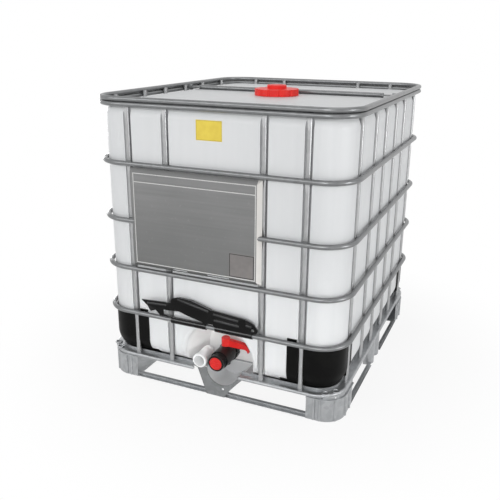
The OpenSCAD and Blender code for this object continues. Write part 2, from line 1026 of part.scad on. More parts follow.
// Fluted corner foot for the +X -Y corner, with a lip and three drain slots under the tray.
module corner_foot() {
    in_x = foot_x - foot_front;
    lip = foot_flute - 1;
    lip_h = 5;
    lip_z = floor_z - 20;
    slot_r = 4;
    difference() {
        union() {
            linear_extrude(height = floor_z)
                intersection() {
                    difference() {
                        plan(2 * foot_x, 2 * foot_y, foot_r);
                        plan(2 * (foot_x - sheet), 2 * (foot_y - sheet), foot_r - sheet);
                    }
                    translate([in_x, -foot_y])
                        square([foot_front, foot_side]);
                }
            for (z = [0, floor_z - sheet])
                translate([0, 0, z])
                    linear_extrude(height = sheet)
                        intersection() {
                            plan(2 * foot_x - 1, 2 * foot_y - 1, foot_r - 0.5);
                            translate([in_x, -foot_y])
                                square([foot_front, foot_side]);
                        }
            for (spot = [[in_x + 30, 1 - foot_y], [foot_x - foot_r + 4, 1 - foot_y],
                    [foot_x - 0.3 * foot_r, 0.3 * foot_r - foot_y],
                    [foot_x - 1, foot_r - 4 - foot_y], [foot_x - 1, foot_side - 34 - foot_y]])
                translate([spot[0], spot[1], sheet])
                    cylinder(r = foot_flute, h = lip_z - sheet + tiny);
            translate([0, 0, lip_z])
                linear_extrude(height = lip_h)
                    intersection() {
                        plan(2 * (foot_x + lip), 2 * (foot_y + lip), foot_r + lip);
                        translate([in_x, -foot_y - lip])
                            square([foot_front + lip, foot_side + lip]);
                    }
        }
        for (turn = [8, 45, 82])
            translate([foot_x - foot_r, foot_r - foot_y, lip_z + lip_h + slot_r + 1])
                rotate([0, 90, -turn])
                    cylinder(r = slot_r, h = 2 * foot_r);
        translate([0, 0, sheet])
            linear_extrude(height = floor_z - 2 * sheet)
                intersection() {
                    plan(2 * (foot_x - sheet), 2 * (foot_y - sheet), foot_r - sheet);
                    translate([in_x - 1, -foot_y])
                        square([foot_front, foot_side + 1]);
                }
    }
}

module foot_front_right() {
    color("silver")
        corner_foot();
}

module foot_front_left() {
    color("silver")
        mirror([1, 0, 0])
            corner_foot();
}

module foot_back_right() {
    color("silver")
        mirror([0, 1, 0])
            corner_foot();
}

module foot_back_left() {
    color("silver")
        rotate([0, 0, 180])
            corner_foot();
}

// Plan of the two half-round lobes of a middle foot, drawn in by inset.
module lobes(inset) {
    r = lobe_r - inset;
    for (s = [-1, 1])
        translate([s * (mid_half - lobe_r), lobe_r])
            intersection() {
                circle(r);
                translate([-r, -r])
                    square([2 * r, r - inset]);
            }
}

// Middle foot with two round lobes, outside toward -Y, outer face at y = 0, open under the tray.
module mid_foot() {
    difference() {
        linear_extrude(height = floor_z) {
            lobes(0);
            translate([-mid_half, lobe_r - sheet])
                square([2 * mid_half, sheet]);
        }
        translate([0, 0, sheet])
            linear_extrude(height = floor_z)
                lobes(sheet);
    }
}

module foot_mid_right() {
    color("silver")
        translate([foot_x, 0, 0])
            rotate([0, 0, 90])
                mid_foot();
}

module foot_mid_left() {
    color("silver")
        translate([-foot_x, 0, 0])
            rotate([0, 0, -90])
                mid_foot();
}

module foot_mid_back() {
    color("silver")
        translate([0, foot_y, 0])
            rotate([0, 0, 180])
                mid_foot();
}

// Ground runner, a channel open to the outside at y = 0.
module runner(len) {
    along_x(len)
        polygon([[0, 0], [runner_d, 0], [runner_d, runner_h], [0, runner_h], [0, runner_h - sheet],
            [runner_d - sheet, runner_h - sheet], [runner_d - sheet, sheet], [0, sheet]]);
}

// Two runners in line, from the middle foot to the corner feet.
module runner_pair(reach) {
    for (s = [-1, 1])
        translate([s * (reach + mid_half) / 2, 0, 0])
            runner(reach - mid_half);
}

module runner_front() {
    color("silver")
        translate([0, -foot_y + sheet, 0])
            runner(2 * (foot_x - foot_front));
}

module runner_back() {
    color("silver")
        rotate([0, 0, 180])
            translate([0, -foot_y, 0])
                runner_pair(foot_x - foot_front);
}

module side_runner() {
    rotate([0, 0, 90])
        translate([0, -foot_x, 0])
            runner_pair(foot_y - foot_side);
}

module runner_right() {
    color("silver")
        side_runner();
}

module runner_left() {
    color("silver")
        rotate([0, 0, 180])
            side_runner();
}

// Section of the guard trough: a round bottom, an upright left wall and a right flank at 45 degrees.
module trough(grow) {
    r = notch_r + grow;
    translate([notch_x, notch_z]) {
        circle(r);
        translate([-r, 0])
            square([r, notch_r]);
        rotate(45)
            translate([0, flank_in - r])
                square([3 * notch_r, r - flank_in]);
    }
}

// Valve guard: front plate with a notch, trough under the valve and an apron on the left.
module valve_guard() {
    back = half_d - gap_depth + 0.3;
    reach = gap_half - 0.3;
    color("silver")
        translate([valve_x, 0, 0]) {
            difference() {
                along_y(foot_y - sheet, foot_y)
                    polygon([[-reach, ledge_z - 4], [-reach, floor_z + 2], [10 - reach, floor_z - 3],
                        [-51, 0], [26, 0], [45, 32], [77, 69], [reach, 92], [reach, floor_z]]);
                along_y(foot_y - sheet - 1, foot_y + 1)
                    trough(0);
                translate([19, 0, 35])
                    rod_y(5, foot_y - sheet - 1, foot_y + 1);
            }
            along_y(back, foot_y - sheet)
                intersection() {
                    difference() {
                        trough(sheet);
                        trough(0);
                    }
                    translate([-reach, 0])
                        square([2 * reach, apron_z]);
                }
            along_y(back, foot_y - sheet)
                translate([-reach, apron_z - sheet])
                    square([reach + notch_x - notch_r, sheet]);
        }
}

bottle();
bottle_label();
lid_gasket();
screw_lid();
rail_upper();
rail_lower();
ring_upper();
ring_middle();
ring_lower();
ring_bottom();
uprights_front();
uprights_back();
uprights_left();
uprights_right();
crossbar();
crossbar_brackets();
crossbar_bolts();
label_plate();
protector_front_left();
protector_front_right();
protector_back_left();
protector_back_right();
union_nut();
valve_body();
valve_stem();
valve_disc();
valve_handle();
cap_gasket();
outlet_cap();
valve_flap();
discharge_spout();
tray();
floor_beams();
foot_front_left();
foot_front_right();
foot_back_left();
foot_back_right();
foot_mid_left();
foot_mid_right();
foot_mid_back();
runner_front();
runner_back();
runner_left();
runner_right();
valve_guard();
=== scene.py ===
import json
import math

import bpy
from mathutils import Matrix, Vector


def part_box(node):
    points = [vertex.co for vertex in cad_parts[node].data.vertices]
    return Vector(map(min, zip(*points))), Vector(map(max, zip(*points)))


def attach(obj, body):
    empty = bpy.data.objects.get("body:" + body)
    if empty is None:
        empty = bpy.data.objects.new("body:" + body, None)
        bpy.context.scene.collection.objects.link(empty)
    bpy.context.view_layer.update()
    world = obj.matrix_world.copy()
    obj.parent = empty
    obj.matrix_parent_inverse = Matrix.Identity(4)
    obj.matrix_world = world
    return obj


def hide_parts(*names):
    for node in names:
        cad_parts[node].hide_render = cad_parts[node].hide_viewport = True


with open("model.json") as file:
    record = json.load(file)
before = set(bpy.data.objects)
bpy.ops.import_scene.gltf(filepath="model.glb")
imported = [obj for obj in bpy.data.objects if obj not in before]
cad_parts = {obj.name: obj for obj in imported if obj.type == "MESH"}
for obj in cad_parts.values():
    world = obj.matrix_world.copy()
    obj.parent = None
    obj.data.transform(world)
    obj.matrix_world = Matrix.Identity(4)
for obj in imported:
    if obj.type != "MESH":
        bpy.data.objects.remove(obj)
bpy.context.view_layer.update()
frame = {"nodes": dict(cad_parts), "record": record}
nodes = frame["nodes"]
print("frame loaded:", len(nodes), "nodes")


# shader maths

class Val:  # a socket that takes part in Python sums
    def __init__(self, graph, socket):
        self.graph = graph
        self.socket = socket

    def sum(self, operation, first, second):
        return self.graph.node("ShaderNodeMath", {"operation": operation}, {0: first, 1: second})

    def __add__(self, other):
        return self.sum("ADD", self, other)

    def __radd__(self, other):
        return self.sum("ADD", other, self)

    def __sub__(self, other):
        return self.sum("SUBTRACT", self, other)

    def __rsub__(self, other):
        return self.sum("SUBTRACT", other, self)

    def __mul__(self, other):
        return self.sum("MULTIPLY", self, other)

    def __rmul__(self, other):
        return self.sum("MULTIPLY", other, self)


class Graph:  # a node tree, of a material or of the world
    def __init__(self, tree):
        self.tree = tree

    def node(self, kind, settings, sockets, out=0):
        made = self.tree.nodes.new(kind)
        for key, value in settings.items():
            if key == "stops":
                self.setStops(made.color_ramp, value)
            else:
                setattr(made, key, value)
        for key, value in sockets.items():
            self.feed(made.inputs[key], value)
        return Val(self, made.outputs[out])

    def setStops(self, ramp, stops):
        while len(ramp.elements) < len(stops):
            ramp.elements.new(1)
        for element, (where, grey) in zip(ramp.elements, stops):
            element.position = where
            element.color = (grey, grey, grey, 1)

    def feed(self, socket, value):
        if isinstance(value, Val):
            self.tree.links.new(value.socket, socket)
        elif isinstance(value, tuple) and len(value) == 3 and socket.type == "RGBA":
            socket.default_value = (*value, 1)
        else:
            socket.default_value = value

    def seenRay(self):  # 1 where the camera, a reflection or a clear piece sees the surface
        path = self.node("ShaderNodeLightPath", {}, {}, "Is Camera Ray")
        outputs = path.socket.node.outputs
        glossy = Val(self, outputs["Is Glossy Ray"])
        through = Val(self, outputs["Is Transmission Ray"])
        return path.sum("MAXIMUM", path.sum("MAXIMUM", path, glossy), through)


class Finish(Graph):  # one material with its principled shader
    def __init__(self, name, **sockets):
        self.material = bpy.data.materials.new(name)
        self.material.use_nodes = True
        super().__init__(self.material.node_tree)
        self.shader = self.tree.nodes["Principled BSDF"]
        self.place = self.node("ShaderNodeTexCoord", {}, {}, "Object")
        self.set(**sockets)

    def set(self, **sockets):
        for key, value in sockets.items():
            self.feed(self.shader.inputs[key.replace("_", " ")], value)

    def stretch(self, scale):  # object place, stretched for streaks
        return self.node("ShaderNodeMapping", {}, {"Vector": self.place, "Scale": scale})

    def noise(self, scale, detail, rough=0.5, place=None):
        sockets = {"Vector": place or self.place, "Scale": scale, "Detail": detail, "Roughness": rough}
        return self.node("ShaderNodeTexNoise", {}, sockets)

    def cells(self, scale):
        return self.node("ShaderNodeTexVoronoi", {}, {"Vector": self.place, "Scale": scale}, "Color")

    def ramp(self, value, stops):
        return self.node("ShaderNodeValToRGB", {"stops": stops}, {0: value})

    def grey(self, colour):
        return self.node("ShaderNodeRGBToBW", {}, {0: colour})

    def mix(self, share, first, second):
        return self.node("ShaderNodeMix", {"data_type": "RGBA"}, {0: share, 6: first, 7: second}, 2)

    def along(self, axis):  # object place on one axis
        return self.node("ShaderNodeSeparateXYZ", {}, {0: self.place}, axis)

    def past(self, axis, low):  # 1 beyond a place on an axis
        place = self.along(axis)
        return place.sum("GREATER_THAN", place, low)

    def within(self, axis, low, high):  # 1 between two places on an axis
        place = self.along(axis)
        return place.sum("GREATER_THAN", place, low) * place.sum("LESS_THAN", place, high)

    def fade(self, axis, low, high):  # rises from 0 to 1 between two places on an axis
        sockets = {"Value": self.along(axis), "From Min": low, "From Max": high}
        return self.node("ShaderNodeMapRange", {}, sockets)

    def bump(self, height, strength, distance):
        sockets = {"Height": height, "Strength": strength, "Distance": distance}
        self.set(Normal=self.node("ShaderNodeBump", {}, sockets))

    def edges(self, width):  # 1 on convex edges, from the bevelled normal
        bent = self.node("ShaderNodeBevel", {"samples": 4}, {"Radius": width})
        straight = self.node("ShaderNodeNewGeometry", {}, {}, "Normal")
        settings = {"operation": "DOT_PRODUCT"}
        dot = self.node("ShaderNodeVectorMath", settings, {0: bent, 1: straight}, "Value")
        return self.grey(self.ramp(dot, [(0.0, 1), (0.9, 1), (0.995, 0)]))


# finishes

# the last five bottle entries paint light into the recess round the valve
milkyPlastic = {"body": (0.78, 0.79, 0.80), "shade": (0.73, 0.745, 0.755), "rough": 0.36,
                "paintedLight": (0.97, 0.97, 0.965), "paintedLightX": (-0.19, 0.21), "paintedLightY": (-0.574, -0.545),
                "paintedLightZ": (0.0, 0.345), "paintedLightEnd": -0.43}
# painted light: the spout is the bottle plastic made paler, to offset the shade it sits in
milkySpoutLit = {"body": (0.95, 0.955, 0.96), "shade": (0.92, 0.925, 0.93), "rough": 0.32}
milkyGrain = {"shine": 0.45, "cloud": 2.2, "flow": (26, 26, 0.9), "flowRough": 0.6, "cloudShare": 0.55,
              "spread": [(0.35, 0), (0.68, 1)], "dull": 38, "dullSpan": 0.14, "skin": 240, "skinShare": 0.7,
              "bump": 0.12, "deep": 0.0012}


def makeMilky(name, look, grain):
    f = Finish(name, Specular_IOR_Level=grain["shine"])
    cloud = f.noise(grain["cloud"], 4)
    flow = f.noise(1.0, 3, grain["flowRough"], f.stretch(grain["flow"]))  # drawn-down streaks of blow moulding
    milk = grain["cloudShare"] * cloud + (1 - grain["cloudShare"]) * flow
    tone = f.mix(f.ramp(milk, grain["spread"]), look["shade"], look["body"])
    if "paintedLight" in look:  # painted light: whiter in the recess folded in round the valve, standing in for light through the wall
        around = f.within("X", *look["paintedLightX"]) * f.within("Z", *look["paintedLightZ"])
        folded = f.fade("Y", *look["paintedLightY"]) * (1 - f.past("Y", look["paintedLightEnd"]))
        tone = f.mix(folded * around, tone, look["paintedLight"])
    f.set(Base_Color=tone)
    f.set(Roughness=look["rough"] + grain["dullSpan"] * f.noise(grain["dull"], 2))
    skin = grain["skinShare"] * f.noise(grain["skin"], 2) + (1 - grain["skinShare"]) * flow
    f.bump(skin, grain["bump"], grain["deep"])
    return f.material


zincRing = {"light": (0.225, 0.23, 0.234), "dark": (0.19, 0.194, 0.198), "metal": 0.92, "rough": 0.30,
            "cell": 60, "dents": 0.005}
# painted light: the uprights are the rings' zinc made lighter, for the light the white bottle throws on them
zincUprightLit = {"light": (0.42, 0.425, 0.43), "dark": (0.37, 0.375, 0.38), "metal": 0.85, "rough": 0.31,
               "cell": 60, "dents": 0.005}
zincSheet = {"light": (0.42, 0.43, 0.44), "dark": (0.33, 0.34, 0.35), "metal": 0.75, "rough": 0.32,
             "cell": 60, "dents": 0.012}
zincGuard = {"light": (0.235, 0.243, 0.247), "dark": (0.175, 0.182, 0.186), "metal": 0.55, "rough": 0.30,
             "cell": 60, "dents": 0.012, "inner": (0.80, 0.81, 0.82), "innerFrom": -0.5624,
             "innerShare": 0.85, "innerDull": 0.35}
boltZinc = {"light": (0.30, 0.31, 0.32), "dark": (0.16, 0.165, 0.17), "metal": 0.85, "rough": 0.38,
            "cell": 160, "dents": 0.10}
stemZinc = {"light": (0.55, 0.56, 0.57), "dark": (0.42, 0.43, 0.44), "metal": 0.95, "rough": 0.26,
            "cell": 220, "dents": 0.05}
lineZinc = {"light": (0.66, 0.66, 0.65), "dark": (0.56, 0.56, 0.55), "metal": 0.30, "rough": 0.40,
            "cell": 160, "dents": 0.05}
zincGrain = {"drift": 6.0, "spangleShare": 0.55, "spread": [(0.25, 0), (0.75, 1)], "grimeAndShade": 17,
             "grimeRough": 0.65, "grimeSpread": [(0.52, 0), (0.80, 1)], "grimeAndShadeShare": 0.30,
             "spangleDull": 0.05, "grimeDull": 0.10, "dent": 170, "deep": 0.0008}


def makeZinc(name, look, grain):
    f = Finish(name, Metallic=look["metal"])
    spangle = f.grey(f.cells(look["cell"]))
    drift = f.noise(grain["drift"], 4)
    grimeAndShade = f.grey(f.ramp(f.noise(grain["grimeAndShade"], 5, grain["grimeRough"]), grain["grimeSpread"]))
    flower = grain["spangleShare"] * spangle + (1 - grain["spangleShare"]) * drift
    tone = f.mix(f.ramp(flower, grain["spread"]), look["dark"], look["light"])
    tone = f.mix(grain["grimeAndShadeShare"] * grimeAndShade, tone, look["dark"])
    if "inner" in look:  # painted light: the trough behind the front plate is paler and less metallic, to offset the shade under the valve
        inner = f.past("Y", look["innerFrom"])
        tone = f.mix(look["innerShare"] * inner, tone, look["inner"])
        f.set(Metallic=look["metal"] - look["innerDull"] * inner)
    f.set(Base_Color=tone)
    f.set(Roughness=look["rough"] + grain["spangleDull"] * spangle + grain["grimeDull"] * grimeAndShade)
    f.bump(f.noise(grain["dent"], 3), look["dents"], grain["deep"])
    return f.material


plateSteel = {"light": (0.27, 0.27, 0.27), "dark": (0.20, 0.203, 0.203), "metal": 0.35, "rough": 0.42,
              "flangeLight": (0.66, 0.645, 0.62), "flangeLightFrom": 0.1745,
              "grimeAndShade": (0.12, 0.123, 0.12), "paintedShadeZ": (0.52, 0.82), "grimeAndShadeShare": 0.6,
              "rolling": (2.2, 2.2, 90), "rollRough": 0.6, "cloud": 3.4, "spread": [(0.3, 0), (0.7, 1)],
              "scuff": 60, "scuffRough": 0.7, "scuffSpread": [(0.60, 0), (0.72, 1)], "scuffShare": 0.12,
              "scuffed": (0.5, 0.5, 0.5), "rollDull": 0.15, "bump": 0.05, "deep": 0.0005}


def makePlate(name, look):
    f = Finish(name, Metallic=look["metal"])
    rolled = f.noise(1.0, 4, look["rollRough"], f.stretch(look["rolling"]))  # rolling lines run across
    cloud = f.noise(look["cloud"], 4)
    scuff = f.ramp(f.noise(look["scuff"], 4, look["scuffRough"]), look["scuffSpread"])
    tone = f.mix(f.ramp(0.5 * rolled + 0.5 * cloud, look["spread"]), look["dark"], look["light"])
    # painted shade: the plate is darker towards the bottom
    unshadedAbove = f.fade("Z", *look["paintedShadeZ"])
    tone = f.mix(look["grimeAndShadeShare"] - look["grimeAndShadeShare"] * unshadedAbove, tone, look["grimeAndShade"])
    worn = f.mix(look["scuffShare"] * scuff, tone, look["scuffed"])
    flangeLight = f.past("X", look["flangeLightFrom"])  # painted light: the right flange is made bright, for the light that falls on it from the right
    f.set(Base_Color=f.mix(flangeLight, worn, look["flangeLight"]))
    f.set(Roughness=look["rough"] + look["rollDull"] * rolled)
    f.bump(rolled, look["bump"], look["deep"])
    return f.material


blackGuard = {"body": (0.003, 0.003, 0.003), "dust": (0.009, 0.009, 0.008), "rough": 0.36, "shine": 0.07,
              "dustAndHighlight": (0.010, 0.010, 0.010)}
blackGloss = {"body": (0.004, 0.004, 0.004), "dust": (0.012, 0.012, 0.012), "rough": 0.22, "shine": 0.24,
              "dustAndHighlight": (0.016, 0.016, 0.016)}
# painted highlight: the flap's pale upward colour stands for the lamp's glint on its upward groove walls
blackFlap = {"body": (0.002, 0.002, 0.002), "dust": (0.007, 0.007, 0.007), "rough": 0.12, "shine": 0.14,
             "dustAndHighlight": (0.17, 0.172, 0.175)}
blackGrain = {"dust": 9, "dustRough": 0.65, "dustSpread": [(0.46, 0), (0.78, 1)], "dustShare": 0.55,
              "edge": 0.0025, "edgeShare": 0.45, "upSpread": [(0.25, 0), (0.46, 1)],
              "patch": 22, "patchLow": 0.55, "patchSpan": 0.6, "grain": 420, "dustDull": 0.18,
              "grainDull": 0.08, "bump": 0.16, "deep": 0.0006}


def makeBlack(name, look, grain):
    f = Finish(name, Specular_IOR_Level=look["shine"])
    dust = f.grey(f.ramp(f.noise(grain["dust"], 5, grain["dustRough"]), grain["dustSpread"]))
    fine = f.noise(grain["grain"], 2)
    worn = f.edges(grain["edge"])
    tone = f.mix(grain["dustShare"] * dust + grain["edgeShare"] * worn, look["body"], look["dust"])
    facing = f.node("ShaderNodeTexCoord", {}, {}, "Normal")
    lift = f.node("ShaderNodeSeparateXYZ", {}, {0: facing}, "Z")
    up = f.grey(f.ramp(lift, grain["upSpread"]))
    patchy = grain["patchLow"] + grain["patchSpan"] * f.noise(grain["patch"], 3)
    f.set(Base_Color=f.mix(up * patchy, tone, look["dustAndHighlight"]))  # faces that look up are lightened: about the dust colour on the guard and gloss parts, a painted highlight on the flap
    f.set(Roughness=look["rough"] + grain["dustDull"] * dust + grain["grainDull"] * fine)
    f.bump(fine, grain["bump"], grain["deep"])
    return f.material


redMoulded = {"body": (0.72, 0.026, 0.022), "deep": (0.61, 0.016, 0.015), "worn": (0.80, 0.11, 0.09),
              "rough": 0.30}
redLid = {"body": (0.94, 0.045, 0.034), "deep": (0.82, 0.026, 0.023), "worn": (0.94, 0.16, 0.13),
          "rough": 0.36}
redGrain = {"shine": 0.25, "coat": 0.05, "cloud": 24, "spread": [(0.35, 0), (0.7, 1)], "edge": 0.0018,
            "edgeShare": 0.5, "dull": 90, "dullSpan": 0.16, "skin": 520, "bump": 0.10, "deep": 0.0005}


def makeRed(name, look, grain):
    f = Finish(name, Specular_IOR_Level=grain["shine"], Coat_Weight=grain["coat"])
    cloud = f.ramp(f.noise(grain["cloud"], 4), grain["spread"])
    worn = f.edges(grain["edge"])
    tone = f.mix(cloud, look["deep"], look["body"])
    f.set(Base_Color=f.mix(grain["edgeShare"] * worn, tone, look["worn"]))
    f.set(Roughness=look["rough"] + grain["dullSpan"] * f.noise(grain["dull"], 3))
    f.bump(f.noise(grain["skin"], 2), grain["bump"], grain["deep"])
    return f.material


yellowFilm = {"body": (0.86, 0.68, 0.09), "deep": (0.78, 0.59, 0.07), "rough": 0.38}
ochreFilm = {"body": (0.52, 0.38, 0.05), "deep": (0.44, 0.32, 0.04), "rough": 0.45}
greyFilm = {"body": (0.22, 0.205, 0.20), "deep": (0.18, 0.17, 0.165), "rough": 0.50}
filmGrain = {"cloud": 34, "spread": [(0.3, 0), (0.7, 1)], "dull": 60, "dullSpan": 0.1, "skin": 26,
             "skinDetail": 3, "bump": 0.10, "deep": 0.0008}
rubberBlack = {"body": (0.060, 0.060, 0.060), "deep": (0.020, 0.020, 0.020), "rough": 0.62}
darkInk = {"body": (0.035, 0.035, 0.035), "deep": (0.020, 0.020, 0.020), "rough": 0.55}
rubberGrain = {"cloud": 44, "spread": [(0.4, 0), (0.75, 1)], "dull": 120, "dullSpan": 0.2, "skin": 600,
               "skinDetail": 2, "bump": 0.2, "deep": 0.0004}


def makeFilm(name, look, grain):
    f = Finish(name)
    cloud = f.ramp(f.noise(grain["cloud"], 4), grain["spread"])
    f.set(Base_Color=f.mix(cloud, look["deep"], look["body"]))
    f.set(Roughness=look["rough"] + grain["dullSpan"] * f.noise(grain["dull"], 2))
    f.bump(f.noise(grain["skin"], grain["skinDetail"]), grain["bump"], grain["deep"])
    return f.material


bottlePlastic = makeMilky("bottlePlastic", milkyPlastic, milkyGrain)
spoutPlasticLit = makeMilky("spoutPlasticLit", milkySpoutLit, milkyGrain)
ringZinc = makeZinc("ringZinc", zincRing, zincGrain)
uprightZincLit = makeZinc("uprightZincLit", zincUprightLit, zincGrain)
sheetZinc = makeZinc("sheetZinc", zincSheet, zincGrain)
guardZinc = makeZinc("guardZinc", zincGuard, zincGrain)
boltMetal = makeZinc("boltMetal", boltZinc, zincGrain)
stemMetal = makeZinc("stemMetal", stemZinc, zincGrain)
lineMetal = makeZinc("lineMetal", lineZinc, zincGrain)
plateMetal = makePlate("plateMetal", plateSteel)
guardPlastic = makeBlack("guardPlastic", blackGuard, blackGrain)
glossPlastic = makeBlack("glossPlastic", blackGloss, blackGrain)
flapPlastic = makeBlack("flapPlastic", blackFlap, blackGrain)
redPlastic = makeRed("redPlastic", redMoulded, redGrain)
lidPlastic = makeRed("lidPlastic", redLid, redGrain)
labelFilm = makeFilm("labelFilm", yellowFilm, filmGrain)
labelInk = makeFilm("labelInk", ochreFilm, filmGrain)
stickerFilm = makeFilm("stickerFilm", greyFilm, filmGrain)
inkFilm = makeFilm("inkFilm", darkInk, rubberGrain)
sealRubber = makeFilm("sealRubber", rubberBlack, rubberGrain)

finishOfSlot = {"white_plastic": bottlePlastic, "yellow_label": labelFilm, "red_plastic": redPlastic,
                "seal_rubber": sealRubber, "stem_steel": stemMetal, "bolt_steel": boltMetal,
                "plate_steel": plateMetal, "zinc_steel": sheetZinc, "black_plastic": glossPlastic}
finishOfPiece = {"rail_": ringZinc, "ring_": ringZinc, "crossbar": ringZinc, "uprights_": uprightZincLit,
                 "protector_": guardPlastic, "valve_guard": guardZinc, "discharge_spout": spoutPlasticLit,
                 "screw_lid": lidPlastic, "crossbar_bolts": boltMetal}

for row in frame["record"]["subparts"]:
    finish = finishOfSlot[row["material_slot"]]
    for start, own in finishOfPiece.items():
        if row["node"].startswith(start):
            finish = own
    mesh = nodes[row["node"]].data
    mesh.materials.clear()
    mesh.materials.append(finish)


# plate lines, sticker, label border, trough wall and flap grooves

def pickOnly(piece):
    bpy.ops.object.select_all(action="DESELECT")
    bpy.context.view_layer.objects.active = piece
    piece.select_set(True)


def startSheet(name, y, low, high):  # upright sheet facing the valve side, corner to corner in x and z
    bpy.ops.object.select_all(action="DESELECT")
    middle = ((low[0] + high[0]) / 2, y, (low[1] + high[1]) / 2)
    bpy.ops.mesh.primitive_plane_add(size=1, location=middle, rotation=(math.pi / 2, 0, 0))
    piece = bpy.context.object
    piece.name = name
    piece.scale = (high[0] - low[0], high[1] - low[1], 1)
    bpy.ops.object.transform_apply(location=True, rotation=True, scale=True)
    return piece


def editAll(work):  # runs edit-mode work on the whole of the active piece
    bpy.ops.object.mode_set(mode="EDIT")
    bpy.ops.mesh.select_all(action="SELECT")
    work()
    bpy.ops.object.mode_set(mode="OBJECT")


def leaveFrame(width):  # leaves only a line along the sheet's edge
    bpy.ops.mesh.inset(thickness=width)
    bpy.ops.mesh.delete(type="FACE")


def roundCorners(radius):
    bpy.ops.mesh.bevel(offset=radius, segments=5, affect="VERTICES")


def thicken(piece, thick, edge):
    wall = piece.modifiers.new("wall", "SOLIDIFY")
    wall.thickness = thick
    wall.offset = 1
    soft = piece.modifiers.new("soft", "BEVEL")
    soft.width = edge
    soft.segments = 2
    for step in ("wall", "soft"):
        bpy.ops.object.modifier_apply(modifier=step)


def fit(piece, finish, body):
    piece.data.materials.clear()
    piece.data.materials.append(finish)
    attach(piece, body)


plateLines = {"low": (-0.3135, 0.5185), "high": (0.1715, 0.8600), "header": 0.827, "line": 0.0032,
              "tall": 0.0008}


def makePlateLines(look):  # embossed frame with a header line
    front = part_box("label_plate")[0][1]
    line, tall = look["line"], look["tall"]
    frameLine = startSheet("plateFrameLine", front, look["low"], look["high"])
    editAll(lambda: leaveFrame(line))
    thicken(frameLine, tall, tall / 3)
    fit(frameLine, lineMetal, "frame")
    low = (look["low"][0] + line, look["header"] - line / 2)
    high = (look["high"][0] - line, look["header"] + line / 2)
    headerLine = startSheet("plateHeaderLine", front, low, high)
    thicken(headerLine, tall, tall / 3)
    fit(headerLine, lineMetal, "frame")


plateSticker = {"low": (0.070, 0.5215), "high": (0.168, 0.611), "corner": 0.003, "film": 0.0003,
                "line": 0.0026, "edgeIn": 0.002}


def makeSticker(look):  # plain film with a dark border
    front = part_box("label_plate")[0][1]
    thick = look["film"]
    film = startSheet("plateSticker", front, look["low"], look["high"])
    editAll(lambda: roundCorners(look["corner"]))
    thicken(film, thick, thick / 4)
    fit(film, stickerFilm, "frame")
    low = [v + look["edgeIn"] for v in look["low"]]
    high = [v - look["edgeIn"] for v in look["high"]]
    border = startSheet("stickerBorder", front - thick, low, high)
    editAll(lambda: leaveFrame(look["line"]))
    thicken(border, thick / 2, thick / 8)
    fit(border, inkFilm, "frame")


labelBorder = {"edgeIn": 0.0015, "line": 0.0012, "tall": 0.0002}


def makeLabelBorder(look):
    boxLow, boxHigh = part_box("bottle_label")
    low = (boxLow[0] + look["edgeIn"], boxLow[2] + look["edgeIn"])
    high = (boxHigh[0] - look["edgeIn"], boxHigh[2] - look["edgeIn"])
    border = startSheet("labelBorder", boxLow[1], low, high)
    editAll(lambda: leaveFrame(look["line"]))
    thicken(border, look["tall"], look["tall"] / 4)
    fit(border, labelInk, "frame")


# end wall of the guard's trough, cut to the trough's round section and its 45 degree flank
troughWall = {"middle": (0.020, 0.113), "radius": 0.063, "left": -0.043, "right": 0.104, "top": 0.1075,
              "wall": 0.002, "cutFrom": 180, "cutTo": 315, "step": 9}


def makeTroughWall(look):
    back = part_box("valve_guard")[1][1]
    x, z = look["middle"]
    radius = look["radius"]
    wall = startSheet("troughWall", back, (look["left"], z - radius), (look["right"], look["top"]))
    bpy.ops.object.mode_set(mode="EDIT")
    for degrees in range(look["cutFrom"], look["cutTo"] + 1, look["step"]):
        out = Vector((math.cos(math.radians(degrees)), 0, math.sin(math.radians(degrees))))
        bpy.ops.mesh.select_all(action="SELECT")
        on = Vector((x, back, z)) + radius * out
        bpy.ops.mesh.bisect(plane_co=on, plane_no=out, clear_outer=True)
    bpy.ops.object.mode_set(mode="OBJECT")
    thicken(wall, look["wall"], look["wall"] / 4)
    fit(wall, guardZinc, "frame")


# moulded grooves in the flap's face: middle along x, deepest line above the hinge, half length, slope
flapGrooves = {"deep": 0.0050, "tilt": 28, "block": 0.010, "soft": 0.002, "hinge": 0.302, "face": 0.0005,
               "merge": 0.00001, "smooth": 35,
               "grooves": {"long": (-0.080, 0.084, 0.068, 11), "arm": (-0.236, 0.062, 0.044, -3),
                           "ledge": (0.056, 0.060, 0.052, 5), "panel": (0.058, 0.038, 0.052, 3),
                           "end": (0.147, 0.044, 0.013, 8)}}


